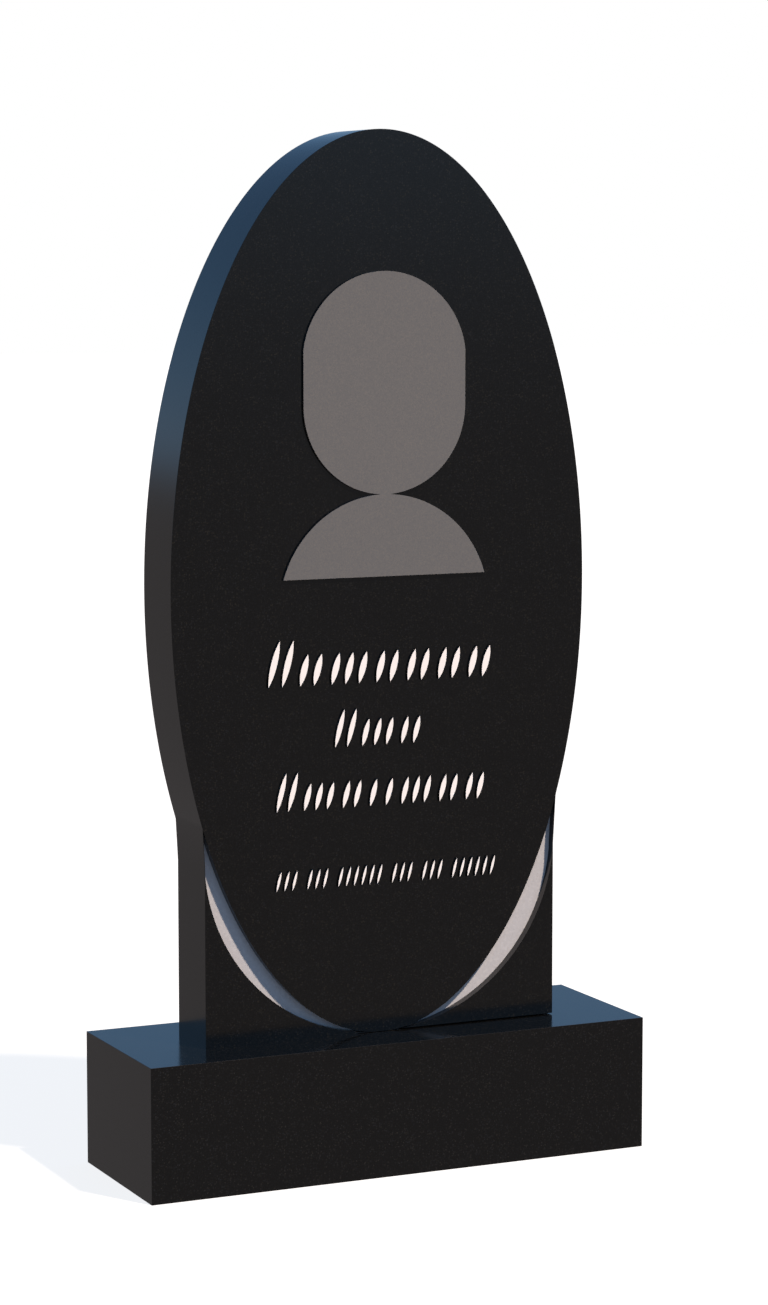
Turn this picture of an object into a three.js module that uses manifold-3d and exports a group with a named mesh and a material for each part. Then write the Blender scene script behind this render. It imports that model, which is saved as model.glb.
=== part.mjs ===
// Headstone: an upright oval granite slab that stands on a rectangular plinth block.
// Millimetres, with X to the viewer's right, Y to the back and Z up.
// The origin lies on the ground, under the middle of the plinth.

import * as THREE from 'three';
import { mergeVertices } from 'three/addons/utils/BufferGeometryUtils.js';
import Module from 'manifold-3d';

const wasm = await Module();
wasm.setup();

// Plinth
const plinthWidth = 600;
const plinthDepth = 200;
const plinthHeight = 150;

// Slab of the stele, with the oval that gives its outline
const slabThickness = 80;
const ovalWidth = 500;
const ovalHeight = 1000;
const beddingGap = 0.3;

// Foot: upright sides, then a slightly flared top that runs on into the oval.
// It stands a little to the right of the oval's middle, and so do the crescents.
const footOffset = 1.1;
const footWidth = 427;
const footSideHeight = 198;
const footTopHeight = 249;
const footTopRunOn = 9;

// Sunk crescents, between the oval's lower edge and a rounder bowl curve inscribed in the foot.
// A thin rim of the foot is left standing outside them.
const bowlHeight = 423;
const crescentDepth = 10;
const rimThickness = 1.2;

// Raised portrait field: a round-ended head over a segment of a disc for the shoulders.
// The head's crown is a slightly wider arc than its chin, cut off by the head's upright sides.
const reliefHeight = 3;
const portraitOffset = 2.5;
const portraitBaseAboveOvalCentre = 11.5;
const headWidth = 195.7;
const headHeight = 244.5;
const crownOverhang = 0.9;
const shouldersRadius = 127.7;
const shouldersHeight = 91;
const neckOverlap = 0.4;

// Inscription rows, from the top down: slanted spindle strokes in groups, the first group taller.
// gapAbove is the clear height over the tall strokes, middle is how far the row's middle stands to the
// right of the oval's, and pitches are measured from stroke to stroke.
const strokeSlantDegrees = 15;
const inscriptionRows = [
  {
    gapAbove: 66, middle: -3, tallStroke: 51, lowStroke: 35, strokeWidth: 11,
    strokePitch: 16.4, groupPitch: 21.5, groups: [2, 2, 3, 2, 2, 2, 2],
  },
  {
    gapAbove: 28, middle: -6.5, tallStroke: 42, lowStroke: 30, strokeWidth: 9,
    strokePitch: 14.5, groupPitch: 18.6, groups: [2, 3, 2],
  },
  {
    gapAbove: 25, middle: -2, tallStroke: 43, lowStroke: 30, strokeWidth: 8.8,
    strokePitch: 13.7, groupPitch: 19.3, groups: [2, 3, 2, 1, 1, 3, 2, 2],
  },
  {
    gapAbove: 66, middle: 5, tallStroke: 22, lowStroke: 22, strokeWidth: 4.3,
    strokePitch: 9.5, groupPitch: 18.2, groups: [3, 3, 6, 3, 3, 6],
  },
];

// Fineness of the curves
const ovalSegments = 128;
const bowlSegments = 96;
const headEndSegments = 24;
const shouldersSegments = 32;
const strokeSegments = 5;

// How far a cutter or a relief runs past the face that it starts from
const cutRunOut = 1;
const reliefRoot = 2;

const frontFace = -slabThickness / 2;
const backFace = slabThickness / 2;
const ovalCentre = ovalHeight / 2;
const footHalfWidth = footWidth / 2;

// Half the oval's width at a height above the slab's underside.
function ovalHalfWidthAt(height) {
  const rise = (height - ovalCentre) / (ovalHeight / 2);
  return (ovalWidth / 2) * Math.sqrt(1 - rise * rise);
}

// A closed outline in the slab's plane, from points of x and height.
function outlineOf(points) {
  return new THREE.Shape(points.map(([x, height]) => new THREE.Vector2(x, height)));
}

// A full ellipse in the slab's plane.
function ellipseOutline(width, height, centreHeight, segments) {
  const points = [];
  for (let i = 0; i < segments; i += 1) {
    const turn = (2 * Math.PI * i) / segments;
    points.push([(width / 2) * Math.cos(turn), centreHeight + (height / 2) * Math.sin(turn)]);
  }
  return outlineOf(points);
}

// The outline extruded through the slab's thickness from one depth to another, as a solid.
function solidBetween(outline, nearY, farY) {
  const geometry = new THREE.ExtrudeGeometry(outline, { depth: farY - nearY, bevelEnabled: false });
  geometry.rotateX(Math.PI / 2);
  geometry.translate(0, farY, 0);
  geometry.deleteAttribute('normal');
  geometry.deleteAttribute('uv');
  const merged = mergeVertices(geometry);
  return new wasm.Manifold(new wasm.Mesh({
    numProp: 3,
    vertProperties: Float32Array.from(merged.attributes.position.array),
    triVerts: Uint32Array.from(merged.index.array),
  }));
}

// A finished solid as three.js geometry with flat faces.
function geometryOf(solid) {
  const mesh = solid.getMesh();
  const indexed = new THREE.BufferGeometry();
  indexed.setAttribute('position', new THREE.BufferAttribute(mesh.vertProperties, 3));
  indexed.setIndex(new THREE.BufferAttribute(mesh.triVerts, 1));
  const geometry = indexed.toNonIndexed();
  geometry.computeVertexNormals();
  return geometry;
}

// The foot's outline, drawn in from its sides and its underside by an inset.
function footOutline(inset) {
  const sideX = footHalfWidth - inset;
  const topX = ovalHalfWidthAt(footTopHeight) - inset;
  const flare = (topX - sideX) / (footTopHeight - footSideHeight);
  const runOnX = topX + flare * footTopRunOn;
  const runOnHeight = footTopHeight + footTopRunOn;
  return outlineOf([
    [footOffset - sideX, inset],
    [footOffset + sideX, inset],
    [footOffset + sideX, footSideHeight],
    [footOffset + runOnX, runOnHeight],
    [footOffset - runOnX, runOnHeight],
    [footOffset - sideX, footSideHeight],
  ]);
}

// The bowl curve: the lower half of an ellipse, open upwards past the foot's top.
function bowlOutline() {
  const centreHeight = bowlHeight / 2;
  const topHeight = footTopHeight + footTopRunOn;
  const points = [];
  for (let i = 0; i <= bowlSegments / 2; i += 1) {
    const turn = Math.PI + (2 * Math.PI * i) / bowlSegments;
    const x = footOffset + footHalfWidth * Math.cos(turn);
    points.push([x, centreHeight * (1 + Math.sin(turn))]);
  }
  points.push([ovalWidth / 2, centreHeight], [ovalWidth / 2, topHeight]);
  points.push([-ovalWidth / 2, topHeight], [-ovalWidth / 2, centreHeight]);
  return outlineOf(points);
}

// The two crescents: inside the bowl curve and the foot's rim, and outside the oval.
function crescentCutter(oval) {
  const nearY = frontFace - cutRunOut;
  const floorY = frontFace + crescentDepth;
  const bowl = solidBetween(bowlOutline(), nearY, floorY);
  const insideRim = solidBetween(footOutline(rimThickness), nearY, floorY);
  const ovalBlock = solidBetween(oval, nearY - cutRunOut, floorY + cutRunOut);
  return bowl.intersect(insideRim).subtract(ovalBlock);
}

// The head: upright sides between the crown's arc and a half disc for the chin.
function headOutline(base) {
  const chinRadius = headWidth / 2;
  const crownRadius = chinRadius + crownOverhang;
  const crownCentre = base + headHeight - crownRadius;
  const crownStart = Math.acos(chinRadius / crownRadius);
  const points = [];
  for (let i = 0; i <= headEndSegments; i += 1) {
    const turn = crownStart + ((Math.PI - 2 * crownStart) * i) / headEndSegments;
    const x = portraitOffset + crownRadius * Math.cos(turn);
    points.push([x, crownCentre + crownRadius * Math.sin(turn)]);
  }
  for (let i = 0; i <= headEndSegments; i += 1) {
    const turn = (Math.PI * i) / headEndSegments;
    const x = portraitOffset - chinRadius * Math.cos(turn);
    points.push([x, base + chinRadius - chinRadius * Math.sin(turn)]);
  }
  return outlineOf(points);
}

// The shoulders: the part of a disc that lies above a level chord.
function shouldersOutline(base) {
  const centreHeight = base + shouldersHeight - shouldersRadius;
  const halfAngle = Math.acos((base - centreHeight) / shouldersRadius);
  const points = [];
  for (let i = 0; i <= shouldersSegments; i += 1) {
    const turn = halfAngle - (2 * halfAngle * i) / shouldersSegments;
    const x = portraitOffset + shouldersRadius * Math.sin(turn);
    points.push([x, centreHeight + shouldersRadius * Math.cos(turn)]);
  }
  return outlineOf(points);
}

// One stroke: a slanted spindle, pointed at both ends and widest in the middle.
function strokeOutline(footX, footHeight, height, width) {
  const slant = Math.tan(THREE.MathUtils.degToRad(strokeSlantDegrees));
  const flank = (side) => {
    const points = [];
    for (let i = 0; i < strokeSegments; i += 1) {
      const share = side > 0 ? i / strokeSegments : 1 - i / strokeSegments;
      const halfWidth = (width / 2) * Math.sin(Math.PI * share);
      const x = footX + slant * height * share + side * halfWidth;
      points.push([x, footHeight + height * share]);
    }
    return points;
  };
  return outlineOf([...flank(1), ...flank(-1)]);
}

// The strokes of one row, either side of the row's middle, with their feet on its base line.
function rowStrokes(row, baseline) {
  const slant = Math.tan(THREE.MathUtils.degToRad(strokeSlantDegrees));
  const feet = [];
  let footX = 0;
  row.groups.forEach((count, group) => {
    for (let i = 0; i < count; i += 1) {
      feet.push({ footX, height: group === 0 ? row.tallStroke : row.lowStroke });
      footX += i === count - 1 ? row.groupPitch : row.strokePitch;
    }
  });
  const rowWidth = feet[feet.length - 1].footX + slant * row.lowStroke;
  return feet.map(({ footX: x, height }) => (
    strokeOutline(row.middle + x - rowWidth / 2, baseline, height, row.strokeWidth)
  ));
}

// The raised portrait field and the inscription rows under it, as outlines.
function reliefOutlines() {
  const portraitBase = ovalCentre + portraitBaseAboveOvalCentre;
  const headBase = portraitBase + shouldersHeight - neckOverlap;
  const outlines = [headOutline(headBase), shouldersOutline(portraitBase)];
  let baseline = portraitBase;
  inscriptionRows.forEach((row) => {
    baseline -= row.gapAbove + row.tallStroke;
    outlines.push(...rowStrokes(row, baseline));
  });
  return outlines;
}

function steleSolid() {
  const oval = ellipseOutline(ovalWidth, ovalHeight, ovalCentre, ovalSegments);
  const slab = solidBetween(oval, frontFace, backFace).add(
    solidBetween(footOutline(0), frontFace, backFace),
  );
  const sunk = slab.subtract(crescentCutter(oval));
  return reliefOutlines().reduce(
    (solid, outline) => solid.add(solidBetween(outline, frontFace - reliefHeight, frontFace + reliefRoot)),
    sunk,
  );
}

// Polished black granite, the same stone for both pieces.
const granite = { color: 0x1d1b1b, roughness: 0.12, metalness: 0 };

const plinth = new THREE.Mesh(
  new THREE.BoxGeometry(plinthWidth, plinthDepth, plinthHeight),
  new THREE.MeshStandardMaterial(granite),
);
plinth.name = 'plinth';
plinth.position.z = plinthHeight / 2;

const stele = new THREE.Mesh(geometryOf(steleSolid()), new THREE.MeshStandardMaterial(granite));
stele.name = 'stele';
stele.position.z = plinthHeight + beddingGap;

const headstone = new THREE.Group();
headstone.add(plinth, stele);

export default headstone;
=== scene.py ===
"""Headstone: an upright oval slab of polished black granite that stands on a rectangular plinth.

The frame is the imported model's: metres, X to the viewer's right, Y to the back, Z up, with the
origin on the ground under the middle of the plinth.
"""

import logging
import math
from collections.abc import Callable, Sequence
from dataclasses import dataclass, field
from enum import Enum

import bmesh
import bpy
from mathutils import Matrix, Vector


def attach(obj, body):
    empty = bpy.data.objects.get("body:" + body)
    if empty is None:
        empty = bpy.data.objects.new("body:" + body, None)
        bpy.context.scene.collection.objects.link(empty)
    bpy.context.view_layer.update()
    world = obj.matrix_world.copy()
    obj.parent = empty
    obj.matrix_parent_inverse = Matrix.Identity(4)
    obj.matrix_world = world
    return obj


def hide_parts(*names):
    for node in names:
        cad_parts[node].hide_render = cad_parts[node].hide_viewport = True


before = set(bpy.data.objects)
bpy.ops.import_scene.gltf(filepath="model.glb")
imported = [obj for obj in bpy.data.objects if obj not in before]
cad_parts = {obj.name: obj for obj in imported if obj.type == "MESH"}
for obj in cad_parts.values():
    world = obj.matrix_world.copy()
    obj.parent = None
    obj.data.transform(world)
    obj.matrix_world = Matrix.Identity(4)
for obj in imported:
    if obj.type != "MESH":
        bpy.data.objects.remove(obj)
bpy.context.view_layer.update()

log = logging.getLogger("headstone")

MM = 0.001

# A face looks along an axis when its normal's share on that axis is more than this.
FACING = 0.99

# The bands to the metre of a Wave Texture at scale one.
WAVE_BANDS = 20 / math.tau

Colour = tuple[float, float, float]
Span = tuple[float, float]
Stops = tuple[tuple[float, Colour], ...]
Piece = bpy.types.Object
Material = bpy.types.Material
Test = Callable[[Vector, Vector], bool]

WHITE: Colour = (1.0, 1.0, 1.0)


class Joining(Enum):
    """How one closed form acts on another."""

    ADD = "UNION"
    CUT = "DIFFERENCE"
    KEEP_COMMON = "INTERSECT"


class Finish(Enum):
    """How a face of the stone is finished."""

    POLISHED = "mirror polish"
    HONED = "dull sheen"
    SAWN = "straight from the saw"
    GROUND = "ground matt"
    PAINTED = "white paint"
    DRESSED = "hammered light"


class Part(Enum):
    """What is picked on a mesh."""

    CORNERS = "VERT"
    EDGES = "EDGE"
    FACES = "FACE"


class Bench:
    """The modelling steps that the stones share.

    Corners closer than DOUBLE are one, and a corner within ON_PLANE of a cutting plane lies on it.
    Faces that meet within FLAT are one flat face, and walls that meet within SMOOTH are shaded as
    one curve. Edges that turn by more than SHARP are sharp.
    """

    DOUBLE: float = 0.002 * MM
    ON_PLANE: float = 0.001 * MM
    FLAT: float = math.radians(0.05)
    SMOOTH: float = math.radians(20)
    SHARP: float = math.radians(50)

    @staticmethod
    def clear() -> None:
        """Leaves edit mode and deselects everything."""
        if bpy.context.mode != "OBJECT":
            bpy.ops.object.mode_set(mode="OBJECT")
        bpy.ops.object.select_all(action="DESELECT")

    @staticmethod
    def use(piece: Piece) -> None:
        """Makes one piece the only selected and active object.

        Args:
            piece: the piece.
        """
        Bench.clear()
        piece.select_set(True)
        bpy.context.view_layer.objects.active = piece

    @staticmethod
    def settle(name: str) -> Piece:
        """Names the new primitive and moves its place, turn and scale into its mesh.

        Args:
            name: the piece's name.

        Returns:
            The piece, at the origin, unturned and unscaled.
        """
        piece = bpy.context.active_object
        piece.name = name
        piece.data.name = name
        bpy.ops.object.transform_apply(location=True, rotation=True, scale=True)
        return piece

    @staticmethod
    def block(name: str, low: Sequence[float], high: Sequence[float]) -> Piece:
        """Adds a rectangular block.

        Args:
            name: the piece's name.
            low: the block's lowest corner.
            high: its highest corner.

        Returns:
            The block.
        """
        Bench.clear()
        centre = [(a + b) / 2 for a, b in zip(low, high)]
        size = [b - a for a, b in zip(low, high)]
        bpy.ops.mesh.primitive_cube_add(size=1, location=centre, scale=size)
        return Bench.settle(name)

    @staticmethod
    def disc(
        name: str,
        centre: tuple[float, float],
        half_sizes: tuple[float, float],
        near_far: Span,
        sides: int,
        tilt: float = 0.0,
    ) -> Piece:
        """Adds an elliptic disc that lies in the slab's plane.

        Args:
            name: the piece's name.
            centre: x and z of its centre.
            half_sizes: its half width and half height.
            near_far: the y of its front and back faces.
            sides: how many sides stand for the curve.
            tilt: how far its top leans towards +X, in radians.

        Returns:
            The disc.
        """
        Bench.clear()
        near, far = near_far
        bpy.ops.mesh.primitive_cylinder_add(
            vertices=sides,
            radius=1.0,
            depth=1.0,
            end_fill_type="NGON",
            location=(centre[0], (near + far) / 2, centre[1]),
            rotation=(math.pi / 2, tilt, 0.0),
            scale=(half_sizes[0], half_sizes[1], far - near),
        )
        return Bench.settle(name)

    @staticmethod
    def edit(piece: Piece, part: Part, everything: bool = False) -> bmesh.types.BMesh:
        """Goes into edit mode.

        Args:
            piece: the piece to edit.
            part: what is to be picked.
            everything: whether all of it is selected to start with, or else nothing.

        Returns:
            The mesh in editing.
        """
        Bench.use(piece)
        bpy.ops.object.mode_set(mode="EDIT")
        bpy.ops.mesh.select_mode(type=part.value)
        bpy.ops.mesh.select_all(action="SELECT" if everything else "DESELECT")
        return bmesh.from_edit_mesh(piece.data)

    @staticmethod
    def pick_faces(piece: Piece, test: Test) -> None:
        """Goes into edit mode and selects faces.

        Args:
            piece: the piece to edit.
            test: says from a face's centre and normal whether it is selected.
        """
        form = Bench.edit(piece, Part.FACES)
        for face in form.faces:
            face.select_set(test(face.calc_center_median(), face.normal))
        bmesh.update_edit_mesh(piece.data)

    @staticmethod
    def ease(
        piece: Piece, width: float, test: Test, facets: int = 1, turn: float = SHARP
    ) -> None:
        """Grinds an arris along edges, flat or rounded in facets.

        Args:
            piece: the piece to ease.
            width: how far the arris reaches in from the edge.
            test: says from an edge's two ends whether it is eased.
            facets: how many facets the arris has.
            turn: only edges that turn by more than this angle are eased.
        """
        form = Bench.edit(piece, Part.EDGES)
        for edge in form.edges:
            turns = edge.calc_face_angle(0.0) > turn
            edge.select_set(turns and test(edge.verts[0].co, edge.verts[1].co))
        form.select_flush_mode()
        bmesh.update_edit_mesh(piece.data)
        bpy.ops.mesh.bevel(offset=width, offset_type="OFFSET", segments=facets, affect="EDGES")
        Bench.clear()

    @staticmethod
    def combine(piece: Piece, other: Piece, joining: Joining) -> None:
        """Adds, cuts or intersects one closed form with another, which is used up.

        Args:
            piece: the form that stays.
            other: the form that acts on it.
            joining: what the other form does.
        """
        Bench.use(piece)
        modifier = piece.modifiers.new(joining.name, "BOOLEAN")
        modifier.operation = joining.value
        modifier.solver = "EXACT"
        modifier.object = other
        bpy.ops.object.modifier_apply(modifier=modifier.name)
        bpy.data.objects.remove(other)

    @staticmethod
    def clean(piece: Piece) -> None:
        """Merges doubles, dissolves seams in flat faces and turns all faces outwards.

        Args:
            piece: the piece to clean.
        """
        Bench.edit(piece, Part.CORNERS, everything=True)
        bpy.ops.mesh.remove_doubles(threshold=Bench.DOUBLE)
        bpy.ops.mesh.dissolve_limited(angle_limit=Bench.FLAT)
        bpy.ops.mesh.delete_loose(use_verts=True, use_edges=True, use_faces=False)
        bpy.ops.mesh.select_all(action="SELECT")
        bpy.ops.mesh.normals_make_consistent(inside=False)
        Bench.clear()

    @staticmethod
    def facet(piece: Piece) -> None:
        """Splits all faces into triangles, so that a union can't fold a face with many corners.

        Args:
            piece: the piece to split.
        """
        Bench.edit(piece, Part.CORNERS, everything=True)
        bpy.ops.mesh.quads_convert_to_tris(quad_method="BEAUTY", ngon_method="BEAUTY")
        Bench.clear()

    @staticmethod
    def join(pieces: Sequence[Piece], name: str) -> Piece:
        """Makes one object of several.

        Args:
            pieces: the objects to join, which are used up.
            name: the joined object's name.

        Returns:
            The joined object.
        """
        Bench.use(pieces[0])
        for piece in pieces:
            piece.select_set(True)
        bpy.ops.object.join()
        joined = bpy.context.active_object
        joined.name = name
        return joined

    @staticmethod
    def copy_to(piece: Piece, x: float, z: float) -> Piece:
        """Copies a piece that is modelled at the origin to a place in the slab's plane.

        Args:
            piece: the piece to copy.
            x: the copy's place across.
            z: the copy's height.

        Returns:
            The copy, with its own mesh.
        """
        Bench.use(piece)
        bpy.ops.object.duplicate(linked=False)
        copy = bpy.context.active_object
        copy.location = (x, 0.0, z)
        bpy.ops.object.transform_apply(location=True, rotation=True, scale=True)
        return copy

    @staticmethod
    def dress(piece: Piece, finish: Material, test: Test) -> None:
        """Gives some faces of a piece a finish of their own.

        Args:
            piece: the piece to dress.
            finish: the faces' material.
            test: says from a face's centre and normal whether it takes the finish.
        """
        piece.data.materials.append(finish)
        Bench.pick_faces(piece, test)
        piece.active_material_index = len(piece.data.materials) - 1
        bpy.ops.object.material_slot_assign()
        Bench.clear()

    @staticmethod
    def shade(piece: Piece) -> None:
        """Shades curved walls smooth and leaves arrises and flat faces crisp.

        Args:
            piece: the piece to shade.
        """
        Bench.use(piece)
        bpy.ops.object.shade_smooth_by_angle(angle=Bench.SMOOTH, keep_sharp_edges=False)
        Bench.clear()


class Shade:
    """A shader socket that takes part in Python arithmetic through Math nodes."""

    def __init__(self, tree: bpy.types.NodeTree, socket: bpy.types.NodeSocket) -> None:
        """Wraps an output socket of a node tree."""
        self.tree = tree
        self.socket = socket

    def maths(self, operation: str, *others: "Shade | float", flipped: bool = False) -> "Shade":
        """Adds one Math node.

        Args:
            operation: the node's operation.
            others: the further operands.
            flipped: whether this socket comes last.

        Returns:
            The result.
        """
        node = self.tree.nodes.new("ShaderNodeMath")
        node.operation = operation
        operands = [*others, self] if flipped else [self, *others]
        for slot, operand in zip(node.inputs, operands):
            if isinstance(operand, Shade):
                self.tree.links.new(operand.socket, slot)
            else:
                slot.default_value = operand
        return Shade(self.tree, node.outputs[0])

    def __add__(self, other: "Shade | float") -> "Shade":
        """Sum."""
        return self.maths("ADD", other)

    def __mul__(self, other: "Shade | float") -> "Shade":
        """Product."""
        return self.maths("MULTIPLY", other)

    def __sub__(self, other: "Shade | float") -> "Shade":
        """Difference."""
        return self.maths("SUBTRACT", other)

    def __rsub__(self, other: float) -> "Shade":
        """Difference from a number."""
        return self.maths("SUBTRACT", other, flipped=True)

    __radd__ = __add__
    __rmul__ = __mul__

    def ramp(self, low: float, high: float) -> "Shade":
        """Turns the value into one that rises smoothly between two levels.

        Args:
            low: where it leaves nought.
            high: where it reaches one; below low, it falls with the value instead.

        Returns:
            The new value.
        """
        node = self.tree.nodes.new("ShaderNodeMapRange")
        node.interpolation_type = "SMOOTHSTEP"
        self.tree.links.new(self.socket, node.inputs["Value"])
        node.inputs["From Min"].default_value = low
        node.inputs["From Max"].default_value = high
        return Shade(self.tree, node.outputs["Result"])


@dataclass(frozen=True)
class MattSurface:
    """How rough a matt face is, and the fine relief in it."""

    roughness: float
    spread: float
    ior: float
    relief_depth: float
    relief_strength: float


class Recipe:
    """A node tree in the making."""

    def __init__(self, tree: bpy.types.NodeTree) -> None:
        """Empties the tree."""
        self.tree = tree
        tree.nodes.clear()

    def node(self, kind: str, settings: dict | None = None, **inputs: object) -> bpy.types.Node:
        """Adds a node.

        Args:
            kind: its type, without the leading ShaderNode.
            settings: its own settings, set first; "stops" holds a colour ramp's stops.
            inputs: values or links of its sockets, with _ for a blank in a socket's name.

        Returns:
            The node.
        """
        made = self.tree.nodes.new("ShaderNode" + kind)
        for key, value in (settings or {}).items():
            if key == "stops":
                self._set_stops(made.color_ramp, value)
            else:
                setattr(made, key, value)
        for key, value in inputs.items():
            slot = made.inputs[key.replace("_", " ")]
            if isinstance(value, Shade):
                self.tree.links.new(value.socket, slot)
            elif isinstance(value, bpy.types.NodeSocket):
                self.tree.links.new(value, slot)
            elif isinstance(value, tuple) and len(value) == 3 and slot.type == "RGBA":
                slot.default_value = (*value, 1.0)
            else:
                slot.default_value = value
        return made

    @staticmethod
    def _set_stops(ramp: bpy.types.ColorRamp, stops: Stops) -> None:
        """Gives a colour ramp its stops.

        Args:
            ramp: the ramp, with its two stops of the start.
            stops: place and colour of each stop, from the lowest up.
        """
        while len(ramp.elements) < len(stops):
            ramp.elements.new(1.0)
        for element, (place, colour) in zip(ramp.elements, stops):
            element.position = place
            element.color = (*colour, 1.0)

    def value(
        self, kind: str, output: str, settings: dict | None = None, **inputs: object
    ) -> Shade:
        """Adds a node and returns one of its outputs for arithmetic.

        Args:
            kind: the node's type, as in node.
            output: the output's name.
            settings: as in node.
            inputs: as in node.

        Returns:
            The output.
        """
        return Shade(self.tree, self.node(kind, settings, **inputs).outputs[output])

    def place(self) -> Shade:
        """The place on the piece, in metres of the shared frame."""
        return self.value("TexCoord", "Object")

    def noise(self, place: Shade, scale: float, detail: float) -> Shade:
        """Cloudy noise from nought to one."""
        return self.value("TexNoise", "Fac", Vector=place, Scale=scale, Detail=detail)

    def blend(self, factor: Shade, first: Colour | Shade, second: Colour | Shade) -> Shade:
        """Mixes two colours.

        Args:
            factor: nought for the first colour, one for the second.
            first: the first colour.
            second: the second colour.

        Returns:
            The mixed colour.
        """
        made = self.tree.nodes.new("ShaderNodeMix")
        made.data_type = "RGBA"
        self.tree.links.new(factor.socket, made.inputs["Factor"])
        for slot, colour in ((made.inputs[6], first), (made.inputs[7], second)):
            if isinstance(colour, Shade):
                self.tree.links.new(colour.socket, slot)
            else:
                slot.default_value = (*colour, 1.0)
        return Shade(self.tree, made.outputs[2])

    def finish(self, shader: bpy.types.Node, kind: str = "OutputMaterial") -> None:
        """Links a shader to the tree's output."""
        output = self.tree.nodes.new("ShaderNode" + kind)
        self.tree.links.new(shader.outputs[0], output.inputs["Surface"])

    def matt(self, surface: MattSurface, colour: Shade, uneven: Shade, height: Shade) -> None:
        """Ends a material as a matt surface.

        Args:
            surface: its roughness and relief.
            colour: its colour.
            uneven: where it is rougher, from nought to one.
            height: where its relief stands up.
        """
        strength, depth = surface.relief_strength, surface.relief_depth
        bump = self.node("Bump", Strength=strength, Distance=depth, Height=height)
        shader = self.node(
            "BsdfPrincipled",
            Base_Color=colour,
            Roughness=uneven * surface.spread + surface.roughness,
            IOR=surface.ior,
            Normal=bump.outputs["Normal"],
        )
        self.finish(shader)


def new_material(name: str) -> tuple[Material, Recipe]:
    """Makes an empty node material.

    Args:
        name: the material's name.

    Returns:
        The material and its recipe.
    """
    material = bpy.data.materials.new(name)
    material.use_nodes = True
    return material, Recipe(material.node_tree)


@dataclass(frozen=True)
class PolishedGranite:
    """Black granite, polished to a mirror, with fine pale grains deep in the black."""

    name: str = "polished_granite"
    black: Colour = (0.0006, 0.0006, 0.0006)
    cool_grain: Colour = (0.0100, 0.0112, 0.0135)
    warm_grain: Colour = (0.0140, 0.0126, 0.0092)
    fleck: Colour = (0.0165, 0.0155, 0.0145)
    grain_size: float = 1.9 * MM
    grain_rim: Span = (0.20, 0.62)
    grain_share: Span = (0.50, 1.0)
    grain_tint: Span = (0.35, 0.65)
    fleck_size: float = 2.7 * MM
    fleck_rim: Span = (0.12, 0.38)
    fleck_share: Span = (0.80, 1.0)
    dust_size: float = 1.1 * MM
    dust_share: Span = (0.45, 0.80)
    dust_strength: float = 0.35
    drift_scale: float = 48.0
    drift_share: Span = (0.20, 0.62)
    smear_scale: float = 9.0
    smear_strength: float = 0.03
    roughness: float = 0.165
    ior: float = 1.5

    def material(self) -> Material:
        """Builds the material.

        Returns:
            The material.
        """
        material, recipe = new_material(self.name)
        place = recipe.place()
        drift = recipe.noise(place, self.drift_scale, 2.0)
        dust = recipe.noise(place, 1 / self.dust_size, 1.0)

        grains = recipe.node("TexVoronoi", Vector=place, Scale=1 / self.grain_size)
        seeds = recipe.node("SeparateColor", Color=grains.outputs["Color"])
        chance, warmth, _ = (Shade(recipe.tree, part) for part in seeds.outputs)
        inside = 1 - Shade(recipe.tree, grains.outputs["Distance"]).ramp(*self.grain_rim)
        grain = inside * chance.ramp(*self.grain_share) * drift.ramp(*self.drift_share)

        flecks = recipe.node("TexVoronoi", Vector=place, Scale=1 / self.fleck_size)
        fleck_seeds = recipe.node("SeparateColor", Color=flecks.outputs["Color"])
        rare = Shade(recipe.tree, fleck_seeds.outputs["Green"]).ramp(*self.fleck_share)
        fleck = (1 - Shade(recipe.tree, flecks.outputs["Distance"]).ramp(*self.fleck_rim)) * rare

        dusty = dust.ramp(*self.dust_share) * self.dust_strength
        tint = recipe.blend(warmth.ramp(*self.grain_tint), self.cool_grain, self.warm_grain)
        colour = recipe.blend(dusty, self.black, self.cool_grain)
        colour = recipe.blend(grain, colour, tint)
        colour = recipe.blend(fleck, colour, self.fleck)
        smear = recipe.noise(place, self.smear_scale, 4.0)
        roughness = smear * self.smear_strength + (self.roughness - self.smear_strength / 2)
        recipe.finish(
            recipe.node("BsdfPrincipled", Base_Color=colour, Roughness=roughness, IOR=self.ior)
        )
        return material


@dataclass(frozen=True)
class HonedGranite(PolishedGranite):
    """The same granite, honed to a dull sheen, for the backs that nobody faces."""

    name: str = "honed_granite"
    black: Colour = (0.0215, 0.0215, 0.0220)
    cool_grain: Colour = (0.0620, 0.0640, 0.0680)
    warm_grain: Colour = (0.0740, 0.0690, 0.0600)
    fleck: Colour = (0.110, 0.106, 0.100)
    roughness: float = 0.42


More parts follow.
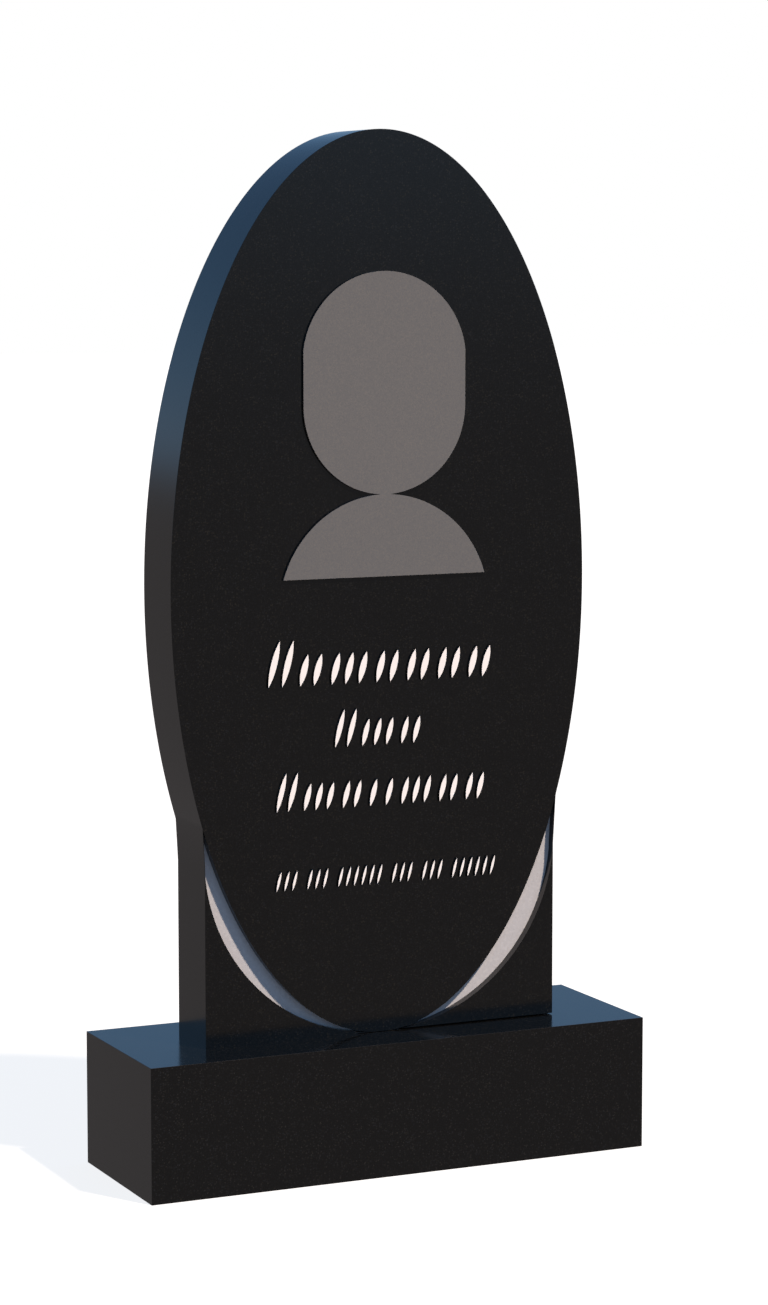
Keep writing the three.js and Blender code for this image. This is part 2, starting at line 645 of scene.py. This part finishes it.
@dataclass(frozen=True)
class SawnGranite:
    """Granite as the frame saw leaves it, pale and lightly grooved, for the undersides."""

    name: str = "sawn_granite"
    grey: Colour = (0.105, 0.104, 0.106)
    dark: Colour = (0.052, 0.052, 0.054)
    pale: Colour = (0.150, 0.147, 0.142)
    grain: float = 2.2 * MM
    pale_share: Span = (0.60, 1.0)
    dark_share: Span = (0.40, 0.0)
    grain_strength: float = 0.8
    swirl_scale: float = 60.0
    groove: float = 3.0 * MM
    groove_bend: float = 1.5
    groove_strength: float = 0.35
    surface: MattSurface = MattSurface(
        roughness=0.70, spread=0.15, ior=1.45, relief_depth=0.12 * MM, relief_strength=0.6
    )

    def material(self) -> Material:
        """Builds the material.

        Returns:
            The material.
        """
        material, recipe = new_material(self.name)
        place = recipe.place()
        grains = recipe.node("TexVoronoi", Vector=place, Scale=1 / self.grain)
        seed = recipe.value("SeparateColor", "Blue", Color=grains.outputs["Color"])
        swirl = recipe.noise(place, self.swirl_scale, 3.0)
        grooves = recipe.value(
            "TexWave",
            "Fac",
            {"wave_type": "BANDS", "bands_direction": "X"},
            Vector=place,
            Scale=1 / (self.groove * WAVE_BANDS),
            Distortion=self.groove_bend,
            Detail=2.0,
        )
        pale = seed.ramp(*self.pale_share) * self.grain_strength
        dark = seed.ramp(*self.dark_share) * self.grain_strength
        colour = recipe.blend(pale, self.grey, self.pale)
        colour = recipe.blend(dark, colour, self.dark)
        colour = recipe.blend(grooves * swirl * self.groove_strength, colour, self.dark)
        recipe.matt(self.surface, colour, swirl, grooves)
        return material


@dataclass(frozen=True)
class GroundGranite:
    """Granite ground matt to an even warm grey, for the portrait field's face."""

    name: str = "ground_granite"
    grey: Colour = (0.1235, 0.1235, 0.1255)
    dark: Colour = (0.104, 0.106, 0.112)
    pale: Colour = (0.149, 0.143, 0.136)
    grain: float = 1.1 * MM
    pale_share: Span = (0.55, 1.0)
    pale_strength: float = 0.7
    dark_share: Span = (0.35, 0.0)
    dark_strength: float = 0.6
    cloud_scale: float = 320.0
    surface: MattSurface = MattSurface(
        roughness=0.62, spread=0.12, ior=1.45, relief_depth=0.1 * MM, relief_strength=0.25
    )

    def material(self) -> Material:
        """Builds the material.

        Returns:
            The material.
        """
        material, recipe = new_material(self.name)
        place = recipe.place()
        grains = recipe.node("TexVoronoi", Vector=place, Scale=1 / self.grain)
        seed = recipe.value("SeparateColor", "Blue", Color=grains.outputs["Color"])
        cloud = recipe.noise(place, self.cloud_scale, 3.0)
        pale = seed.ramp(*self.pale_share) * self.pale_strength
        dark = seed.ramp(*self.dark_share) * self.dark_strength
        colour = recipe.blend(pale, self.grey, self.pale)
        colour = recipe.blend(dark, colour, self.dark)
        recipe.matt(self.surface, colour, cloud, cloud)
        return material


@dataclass(frozen=True)
class StrokePaint:
    """White stone paint on the strokes' faces, with a faint brushed unevenness."""

    name: str = "white_stone_paint"
    white: Colour = (0.93, 0.90, 0.885)
    thin: Colour = (0.80, 0.77, 0.75)
    thin_share: Span = (0.55, 0.78)
    thin_strength: float = 0.6
    body_scale: float = 420.0
    surface: MattSurface = MattSurface(
        roughness=0.42, spread=0.2, ior=1.45, relief_depth=0.08 * MM, relief_strength=0.3
    )

    def material(self) -> Material:
        """Builds the material.

        Returns:
            The material.
        """
        material, recipe = new_material(self.name)
        place = recipe.place()
        body = recipe.noise(place, self.body_scale, 4.0)
        thin = body.ramp(*self.thin_share) * self.thin_strength
        colour = recipe.blend(thin, self.white, self.thin)
        recipe.matt(self.surface, colour, body, body)
        return material


@dataclass(frozen=True)
class DressedGranite:
    """Granite bush-hammered to a light even grey, for the floors of the sunk crescents."""

    name: str = "dressed_granite"
    pale: Colour = (0.478, 0.482, 0.508)
    bruised: Colour = (0.524, 0.526, 0.550)
    dark: Colour = (0.395, 0.395, 0.410)
    pick: float = 1.3 * MM
    bruised_share: Span = (0.45, 0.70)
    dark_share: Span = (0.88, 1.0)
    dark_strength: float = 0.5
    cloud_scale: float = 260.0
    surface: MattSurface = MattSurface(
        roughness=0.75, spread=0.15, ior=1.4, relief_depth=0.15 * MM, relief_strength=0.35
    )

    def material(self) -> Material:
        """Builds the material.

        Returns:
            The material.
        """
        material, recipe = new_material(self.name)
        place = recipe.place()
        picks = recipe.node("TexVoronoi", Vector=place, Scale=1 / self.pick)
        depth = Shade(recipe.tree, picks.outputs["Distance"])
        seed = recipe.value("SeparateColor", "Red", Color=picks.outputs["Color"])
        cloud = recipe.noise(place, self.cloud_scale, 4.0)
        dark = seed.ramp(*self.dark_share) * self.dark_strength
        colour = recipe.blend(cloud.ramp(*self.bruised_share), self.pale, self.bruised)
        colour = recipe.blend(dark, colour, self.dark)
        recipe.matt(self.surface, colour, cloud, depth)
        return material


@dataclass(frozen=True)
class Plinth:
    """The rectangular block on the ground."""

    width: float = 600 * MM
    depth: float = 200 * MM
    height: float = 150 * MM
    arris: float = 0.2 * MM

    def build(self, finishes: dict[Finish, Material]) -> Piece:
        """Builds and dresses the plinth.

        Args:
            finishes: the material of each finish.

        Returns:
            The finished piece.
        """
        half_width, half_depth = self.width / 2, self.depth / 2
        low = (-half_width, -half_depth, 0.0)
        piece = Bench.block("plinth_stone", low, (half_width, half_depth, self.height))
        off_the_ground = self.height / 100
        Bench.ease(piece, self.arris, lambda a, b: max(a.z, b.z) > off_the_ground)
        piece.data.materials.append(finishes[Finish.POLISHED])
        Bench.dress(piece, finishes[Finish.HONED], lambda centre, normal: normal.y > FACING)
        Bench.dress(piece, finishes[Finish.SAWN], lambda centre, normal: normal.z < -FACING)
        Bench.shade(piece)
        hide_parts("plinth")
        return piece


@dataclass(frozen=True)
class InscriptionRow:
    """One row of strokes in groups, with the strokes of the first group taller."""

    gap_above: float
    middle: float
    tall: float
    low: float
    stroke_width: float
    stroke_pitch: float
    group_pitch: float
    groups: tuple[int, ...]


@dataclass(frozen=True)
class Inscription:
    """The rows of slanted strokes under the portrait field, from the top down.

    A stroke starts as a lozenge that is wider than the stroke by the share corner_width. Its two
    side corners lie within waist_share of its length and are rounded in facets over corner_round.
    """

    slant: float = math.radians(15)
    corner_width: float = 1.25
    corner_round: float = 0.42
    waist_share: float = 0.125
    facets: int = 9
    rows: tuple[InscriptionRow, ...] = (
        InscriptionRow(
            gap_above=66 * MM, middle=-3 * MM, tall=51 * MM, low=35 * MM, stroke_width=11 * MM,
            stroke_pitch=16.4 * MM, group_pitch=21.5 * MM, groups=(2, 2, 3, 2, 2, 2, 2),
        ),
        InscriptionRow(
            gap_above=28 * MM, middle=-6.5 * MM, tall=42 * MM, low=30 * MM, stroke_width=9 * MM,
            stroke_pitch=14.5 * MM, group_pitch=18.6 * MM, groups=(2, 3, 2),
        ),
        InscriptionRow(
            gap_above=25 * MM, middle=-2 * MM, tall=43 * MM, low=30 * MM, stroke_width=8.8 * MM,
            stroke_pitch=13.7 * MM, group_pitch=19.3 * MM, groups=(2, 3, 2, 1, 1, 3, 2, 2),
        ),
        InscriptionRow(
            gap_above=66 * MM, middle=5 * MM, tall=22 * MM, low=22 * MM, stroke_width=4.3 * MM,
            stroke_pitch=9.5 * MM, group_pitch=18.2 * MM, groups=(3, 3, 6, 3, 3, 6),
        ),
    )

    def stroke(self, height: float, width: float, near_far: Span) -> Piece:
        """Models one spindle whose foot stands at the origin.

        Args:
            height: its height above its foot.
            width: its width in the middle.
            near_far: the y of its front and back faces.

        Returns:
            The spindle, pointed at both ends.
        """
        length = height / math.cos(self.slant)
        middle = (height / 2 * math.tan(self.slant), height / 2)
        half_sizes = (self.corner_width * width / 2, length / 2)
        piece = Bench.disc("stroke", middle, half_sizes, near_far, 4, self.slant)
        lean = Vector((math.sin(self.slant), 0.0, math.cos(self.slant)))
        centre = Vector((middle[0], 0.0, middle[1]))

        def at_the_waist(a: Vector, b: Vector) -> bool:
            """Whether an edge runs through the slab's thickness at the spindle's waist."""
            across = abs(a.y - b.y) > abs(near_far[1] - near_far[0]) / 2
            return across and abs((a - centre).dot(lean)) < length * self.waist_share

        Bench.ease(piece, length * self.corner_round, at_the_waist, self.facets, turn=0.0)
        return piece

    def row(self, row: InscriptionRow, baseline: float, near_far: Span) -> list[Piece]:
        """Sets out one row, either side of its middle.

        Args:
            row: the row's sizes.
            baseline: the height of the strokes' feet.
            near_far: the y of their front and back faces.

        Returns:
            The strokes.
        """
        feet: list[tuple[float, bool]] = []
        foot = 0.0
        for group, count in enumerate(row.groups):
            for place in range(count):
                feet.append((foot, group == 0))
                foot += row.group_pitch if place == count - 1 else row.stroke_pitch
        width = feet[-1][0] + math.tan(self.slant) * row.low
        tall = self.stroke(row.tall, row.stroke_width, near_far)
        low = self.stroke(row.low, row.stroke_width, near_far)
        strokes = [
            Bench.copy_to(tall if is_tall else low, row.middle + x - width / 2, baseline)
            for x, is_tall in feet
        ]
        bpy.data.objects.remove(tall)
        bpy.data.objects.remove(low)
        return strokes

    def strokes(self, top: float, near_far: Span) -> list[Piece]:
        """Sets out all the rows under a given height.

        Args:
            top: the height from which the first gap is measured down.
            near_far: the y of the strokes' front and back faces.

        Returns:
            All the strokes.
        """
        made: list[Piece] = []
        baseline = top
        for row in self.rows:
            baseline -= row.gap_above + row.tall
            made += self.row(row, baseline, near_far)
        return made


@dataclass(frozen=True)
class PortraitField:
    """The blank head-and-shoulders field that stands proud of the slab."""

    base_above_centre: float = 11.5 * MM
    head_width: float = 195.7 * MM
    head_height: float = 244.5 * MM
    crown_overhang: float = 0.9 * MM
    shoulders_radius: float = 127.7 * MM
    shoulders_height: float = 91 * MM
    neck_overlap: float = 0.4 * MM
    offset: float = 2.5 * MM
    arris: float = 0.2 * MM
    sides: int = 128

    def head(self, base: float, near_far: Span) -> Piece:
        """Models the head: a half disc for the chin, upright sides and a wider arc for the crown.

        Args:
            base: the height of its lowest point.
            near_far: the y of its front and back faces.

        Returns:
            The head.
        """
        chin = self.head_width / 2
        crown = chin + self.crown_overhang
        centre = base + chin
        crown_centre = base + self.head_height - crown
        piece = Bench.disc("head", (self.offset, centre), (chin, chin), near_far, self.sides)
        Bench.edit(piece, Part.CORNERS, everything=True)
        bpy.ops.mesh.bisect(plane_co=(0.0, 0.0, centre), plane_no=(0.0, 0.0, 1.0), use_fill=False)
        bpy.ops.mesh.select_all(action="DESELECT")
        form = bmesh.from_edit_mesh(piece.data)
        for vertex in form.verts:
            vertex.select_set(vertex.co.z > centre + chin / self.sides)
        form.select_flush_mode()
        bmesh.update_edit_mesh(piece.data)
        bpy.ops.transform.translate(value=(0.0, 0.0, crown_centre - centre))
        growth = crown / chin
        bpy.ops.transform.resize(
            value=(growth, 1.0, growth), center_override=(self.offset, 0.0, crown_centre)
        )
        for side in (-1.0, 1.0):
            bpy.ops.mesh.select_all(action="SELECT")
            bpy.ops.mesh.bisect(
                plane_co=(self.offset + side * chin, 0.0, 0.0),
                plane_no=(side, 0.0, 0.0),
                use_fill=True,
                clear_outer=True,
                threshold=Bench.ON_PLANE,
            )
        Bench.clear()
        return piece

    def shoulders(self, base: float, near_far: Span) -> Piece:
        """Models the shoulders, the part of a disc above a level chord.

        Args:
            base: the chord's height.
            near_far: the y of the front and back faces.

        Returns:
            The shoulders.
        """
        radius = self.shoulders_radius
        centre = base + self.shoulders_height - radius
        middle = (self.offset, centre)
        piece = Bench.disc("shoulders", middle, (radius, radius), near_far, self.sides)
        Bench.edit(piece, Part.CORNERS, everything=True)
        bpy.ops.mesh.bisect(
            plane_co=(0.0, 0.0, base), plane_no=(0.0, 0.0, 1.0), use_fill=True, clear_inner=True
        )
        Bench.clear()
        return piece

    def build(self, base: float, near_far: Span) -> Piece:
        """Joins the head and the shoulders and eases their front edge.

        Args:
            base: the height of the shoulders' chord.
            near_far: the y of the front and back faces.

        Returns:
            The field as one closed form.
        """
        head_base = base + self.shoulders_height - self.neck_overlap
        piece = self.shoulders(base, near_far)
        Bench.combine(piece, self.head(head_base, near_far), Joining.ADD)
        Bench.clean(piece)
        front = near_far[0] + self.arris / 10
        Bench.ease(piece, self.arris, lambda a, b: max(a.y, b.y) < front)
        return piece


@dataclass(frozen=True)
class Stele:
    """The upright slab: an oval whose lower end runs into a straight-sided foot."""

    underside: float = 150 * MM
    thickness: float = 80 * MM
    oval_width: float = 500 * MM
    oval_height: float = 1000 * MM
    foot_offset: float = 1.1 * MM
    foot_width: float = 427 * MM
    foot_side_height: float = 198 * MM
    foot_top_height: float = 249 * MM
    foot_run_on: float = 9 * MM
    bowl_width: float = 428.2 * MM
    bowl_height: float = 423 * MM
    crescent_depth: float = 10 * MM
    rim: float = 0.4 * MM
    arris: float = 0.2 * MM
    joint_relief: float = 1.4 * MM
    toe_relief: float = 0.5 * MM
    toe_width: float = 60 * MM
    relief_height: float = 3 * MM
    root: float = 2 * MM
    oval_sides: int = 384
    bowl_sides: int = 320
    portrait: PortraitField = field(default_factory=PortraitField)
    inscription: Inscription = field(default_factory=Inscription)

    @property
    def front(self) -> float:
        """The y of the slab's front face."""
        return -self.thickness / 2

    @property
    def centre(self) -> float:
        """The height of the oval's centre."""
        return self.underside + self.oval_height / 2

    def oval(self, near_far: Span) -> Piece:
        """Models a block with the oval's outline.

        Args:
            near_far: the y of its front and back faces.

        Returns:
            The oval block.
        """
        half_sizes = (self.oval_width / 2, self.oval_height / 2)
        return Bench.disc("oval", (0.0, self.centre), half_sizes, near_far, self.oval_sides)

    def oval_half_width(self, height: float) -> float:
        """Half the oval's width at a height above the underside."""
        rise = 2 * height / self.oval_height - 1
        return self.oval_width / 2 * math.sqrt(1 - rise * rise)

    @property
    def flare(self) -> float:
        """How much the foot's half width grows for each metre above its upright sides."""
        rise = self.foot_top_height - self.foot_side_height
        return (self.oval_half_width(self.foot_top_height) - self.foot_width / 2) / rise

    def foot(self, inset: float, near_far: Span) -> Piece:
        """Models the foot: a block whose top is drawn up and out to the oval.

        Args:
            inset: how far it is drawn in from its sides and its underside.
            near_far: the y of its front and back faces.

        Returns:
            The foot.
        """
        middle = self.foot_offset
        side = self.foot_width / 2 - inset
        side_top = self.underside + self.foot_side_height
        near, far = near_far
        low = (middle - side, near, self.underside + inset)
        piece = Bench.block("foot", low, (middle + side, far, side_top))
        drawn = self.foot_top_height - self.foot_side_height + self.foot_run_on
        Bench.pick_faces(piece, lambda centre, normal: normal.z > FACING)
        bpy.ops.mesh.extrude_region_move(TRANSFORM_OT_translate={"value": (0.0, 0.0, drawn)})
        widening = (side + self.flare * drawn) / side
        bpy.ops.transform.resize(value=(widening, 1.0, 1.0), center_override=(middle, 0.0, 0.0))
        Bench.clean(piece)
        return piece

    def bowl(self) -> Piece:
        """Models what is sunk into the foot: all inside the bowl curve and the foot's rim.

        Returns:
            The cutter, which is open upwards past the foot's top.
        """
        near = self.front - self.root
        floor = self.front + self.crescent_depth
        half_sizes = (self.bowl_width / 2, self.bowl_height / 2)
        centre = (self.foot_offset, self.underside + self.bowl_height / 2)
        cutter = Bench.disc("bowl", centre, half_sizes, (near, floor), self.bowl_sides)
        reach = self.oval_width / 2
        top = self.underside + self.foot_top_height + self.foot_run_on / 2
        above = Bench.block("above", (-reach, near, centre[1]), (reach, floor, top))
        Bench.combine(cutter, above, Joining.ADD)
        beyond = (near - self.root, floor + self.root)
        Bench.combine(cutter, self.foot(self.rim, beyond), Joining.KEEP_COMMON)
        return cutter

    def joint(self, left: float, right: float, relief: float) -> Piece:
        """Models a stretch of the open joint under the slab.

        Args:
            left: the x of its left-hand end.
            right: the x of its right-hand end.
            relief: how far the stone clears the plinth there.

        Returns:
            The cutter.
        """
        reach = self.thickness
        low = (left, -reach, self.underside - self.root)
        return Bench.block("joint", low, (right, reach, self.underside + relief))

    def on_the_outline(self, a: Vector, b: Vector) -> bool:
        """Tells the edges of the slab's outer outline from those inside it and at the joint.

        Args:
            a: one end of an edge.
            b: its other end.

        Returns:
            Whether the edge runs along the outline above the joint.
        """
        height = (a.z + b.z) / 2 - self.underside
        across = abs((a.x + b.x) / 2 - self.foot_offset)
        foot_side = self.foot_width / 2 + self.flare * max(0.0, height - self.foot_side_height)
        outer = height > self.foot_top_height or across > foot_side - self.rim / 2
        bedded = max(a.z, b.z) < self.underside + self.root
        return outer and not bedded and abs(a.y - b.y) < self.arris

    def slab(self) -> Piece:
        """Models the slab: the foot with its joint and its sunk bowl, and the oval over it.

        Returns:
            The slab without its relief.
        """
        near_far = (self.front, -self.front)
        piece = self.foot(0.0, near_far)
        right_half = self.joint(0.0, self.foot_width, self.joint_relief)
        Bench.combine(piece, right_half, Joining.CUT)
        Bench.combine(piece, self.bowl(), Joining.CUT)
        Bench.combine(piece, self.oval(near_far), Joining.ADD)
        toe = self.joint(-self.toe_width / 2, self.toe_width / 2, self.toe_relief)
        Bench.combine(piece, toe, Joining.CUT)
        Bench.clean(piece)
        Bench.ease(piece, self.arris, self.on_the_outline)
        return piece

    def relief(self) -> Piece:
        """Models the portrait field and the strokes.

        Returns:
            One object with all these closed forms.
        """
        near_far = (self.front - self.relief_height, self.front + self.root)
        base = self.centre + self.portrait.base_above_centre
        field_piece = self.portrait.build(base, near_far)
        strokes = self.inscription.strokes(base, near_far)
        return Bench.join([field_piece, *strokes], "relief")

    def build(self, finishes: dict[Finish, Material]) -> Piece:
        """Builds and dresses the stele.

        Args:
            finishes: the material of each finish.

        Returns:
            The finished piece.
        """
        piece = self.slab()
        Bench.facet(piece)
        Bench.combine(piece, self.relief(), Joining.ADD)
        Bench.clean(piece)
        piece.name = "stele_stone"
        piece.data.name = "stele_stone"
        self.dress(piece, finishes)
        Bench.shade(piece)
        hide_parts("stele")
        return piece

    def dress(self, piece: Piece, finishes: dict[Finish, Material]) -> None:
        """Gives each face of the slab its finish.

        Args:
            piece: the stele.
            finishes: the material of each finish.
        """
        proud = self.front - self.relief_height
        sunk = self.front + self.crescent_depth
        portrait_base = self.centre + self.portrait.base_above_centre - self.root
        near = self.relief_height / 30
        bedded = self.underside + self.root

        def faces_front_at(depth: float, centre: Vector, normal: Vector) -> bool:
            """Whether a face looks straight to the front from a given y."""
            return normal.y < -FACING and abs(centre.y - depth) < near

        places: dict[Finish, Test] = {
            Finish.GROUND: lambda c, n: faces_front_at(proud, c, n) and c.z > portrait_base,
            Finish.PAINTED: lambda c, n: faces_front_at(proud, c, n) and c.z < portrait_base,
            Finish.DRESSED: lambda c, n: faces_front_at(sunk, c, n),
            Finish.HONED: lambda c, n: n.y > FACING,
            Finish.SAWN: lambda c, n: n.z < -FACING and c.z < bedded,
        }
        piece.data.materials.clear()
        piece.data.materials.append(finishes[Finish.POLISHED])
        for finish, test in places.items():
            Bench.dress(piece, finishes[finish], test)


@dataclass(frozen=True)
class Studio:
    """The floor, the surroundings, the light and the camera."""

    camera_place: tuple[float, float, float] = (-1.61365, -3.52623, 1.01535)
    camera_turn: float = math.radians(24.8699)
    camera_dip: float = math.radians(6.5112)
    camera_reach: float = 200.0
    focal_length: float = 96.463
    film_height: float = 36.0
    light_from: tuple[float, float, float] = (0.292, -0.500, 0.835)
    light_colour: Colour = (1.0, 0.813, 0.656)
    light_strength: float = 5.6
    light_angle: float = math.radians(3)
    light_distance: float = 4.0
    floor_size: float = 60.0
    floor_dark: Colour = (0.205, 0.205, 0.205)
    floor_pale: Colour = (0.225, 0.225, 0.225)
    floor_cloud_scale: float = 3.0
    floor_roughness: float = 0.9
    floor_glow: float = 0.85
    left_gain: float = 0.17
    horizon: Span = (0.005, 0.070)
    horizon_dip: float = 0.028
    ground_behind: Colour = (0.218, 0.201, 0.201)
    ground_in_front: Colour = (0.257, 0.236, 0.234)
    sky_behind: Stops = (
        (0.00, (0.315, 0.408, 0.535)),
        (0.08, (0.300, 0.465, 0.675)),
        (0.15, (0.228, 0.404, 0.636)),
        (0.26, (0.148, 0.296, 0.515)),
        (0.40, (0.096, 0.206, 0.387)),
        (0.60, (0.075, 0.167, 0.331)),
        (1.00, (0.064, 0.149, 0.302)),
    )
    sky_in_front: Stops = (
        (0.00, (0.440, 0.518, 0.610)),
        (0.12, (0.350, 0.549, 0.776)),
        (0.19, (0.273, 0.483, 0.766)),
        (0.30, (0.189, 0.378, 0.651)),
        (0.40, (0.147, 0.304, 0.557)),
        (0.60, (0.116, 0.242, 0.462)),
        (1.00, (0.074, 0.168, 0.336)),
    )

    def camera(self) -> None:
        """Places the camera at the photograph's viewpoint."""
        lens = bpy.data.cameras.new("camera")
        lens.sensor_width = self.film_height
        lens.sensor_fit = "AUTO"
        lens.lens = self.focal_length
        lens.clip_end = self.camera_reach
        camera = bpy.data.objects.new("camera", lens)
        camera.location = self.camera_place
        camera.rotation_euler = (math.pi / 2 - self.camera_dip, 0.0, -self.camera_turn)
        bpy.context.scene.collection.objects.link(camera)
        bpy.context.scene.camera = camera

    def key_light(self) -> None:
        """Hangs the soft key light in front, to the right and above."""
        lamp = bpy.data.lights.new("key_light", "SUN")
        lamp.energy = self.light_strength
        lamp.color = self.light_colour
        lamp.angle = self.light_angle
        holder = bpy.data.objects.new("key_light", lamp)
        holder.rotation_euler = Vector(self.light_from).to_track_quat("Z", "Y").to_euler()
        holder.location = Vector(self.light_from) * self.light_distance
        bpy.context.scene.collection.objects.link(holder)

    def surroundings(self) -> None:
        """Fills the surroundings: grey below the horizon, pale blue above, white to the camera."""
        world = bpy.data.worlds.new("surroundings")
        world.use_nodes = True
        bpy.context.scene.world = world
        recipe = Recipe(world.node_tree)
        direction = recipe.value("TexCoord", "Generated")
        parts = recipe.node("SeparateXYZ", Vector=direction)
        across, back, height = (Shade(recipe.tree, part) for part in parts.outputs)
        to_front = back * -0.5 + 0.5
        ground = recipe.blend(to_front, self.ground_behind, self.ground_in_front)
        sky_behind = recipe.value("ValToRGB", "Color", {"stops": self.sky_behind}, Fac=height)
        sky_in_front = recipe.value("ValToRGB", "Color", {"stops": self.sky_in_front}, Fac=height)
        sky = recipe.blend(to_front, sky_behind, sky_in_front)
        gain = across * -self.left_gain + 1.0
        sky = recipe.value("VectorMath", "Vector", {"operation": "SCALE"}, Vector=sky, Scale=gain)
        above = (height + to_front * self.horizon_dip).ramp(*self.horizon)
        colour = recipe.blend(above, ground, sky)
        around = recipe.node("Background", Color=colour, Strength=1.0)
        seen = recipe.node("Background", Color=WHITE, Strength=1.0)
        mix = recipe.tree.nodes.new("ShaderNodeMixShader")
        to_camera = recipe.node("LightPath").outputs["Is Camera Ray"]
        recipe.tree.links.new(to_camera, mix.inputs[0])
        recipe.tree.links.new(around.outputs[0], mix.inputs[1])
        recipe.tree.links.new(seen.outputs[0], mix.inputs[2])
        recipe.finish(mix, "OutputWorld")

    def floor(self) -> None:
        """Lays the plain pale floor."""
        Bench.clear()
        bpy.ops.mesh.primitive_plane_add(size=self.floor_size, location=(0.0, 0.0, 0.0))
        plane = Bench.settle("floor")
        material, recipe = new_material("pale_floor")
        cloud = recipe.noise(recipe.place(), self.floor_cloud_scale, 2.0)
        tone = recipe.blend(cloud, self.floor_dark, self.floor_pale)
        shader = recipe.node(
            "BsdfPrincipled",
            Base_Color=tone,
            Roughness=self.floor_roughness,
            Emission_Color=WHITE,
            Emission_Strength=self.floor_glow,
        )
        recipe.finish(shader)
        plane.data.materials.append(material)
        plane.visible_glossy = False
        plane.visible_diffuse = False

    def build(self) -> None:
        """Builds the whole studio."""
        self.camera()
        self.key_light()
        self.surroundings()
        self.floor()
        bpy.context.scene.view_settings.view_transform = "Standard"


def main() -> None:
    """Builds the headstone and the studio."""
    logging.basicConfig(level=logging.INFO, format="%(name)s: %(message)s")
    Studio().build()
    finishes = {
        Finish.POLISHED: PolishedGranite().material(),
        Finish.HONED: HonedGranite().material(),
        Finish.SAWN: SawnGranite().material(),
        Finish.GROUND: GroundGranite().material(),
        Finish.PAINTED: StrokePaint().material(),
        Finish.DRESSED: DressedGranite().material(),
    }
    for piece in (Plinth().build(finishes), Stele().build(finishes)):
        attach(piece, "root")
        log.info("%s: %d faces", piece.name, len(piece.data.polygons))


if __name__ == "__main__":
    main()
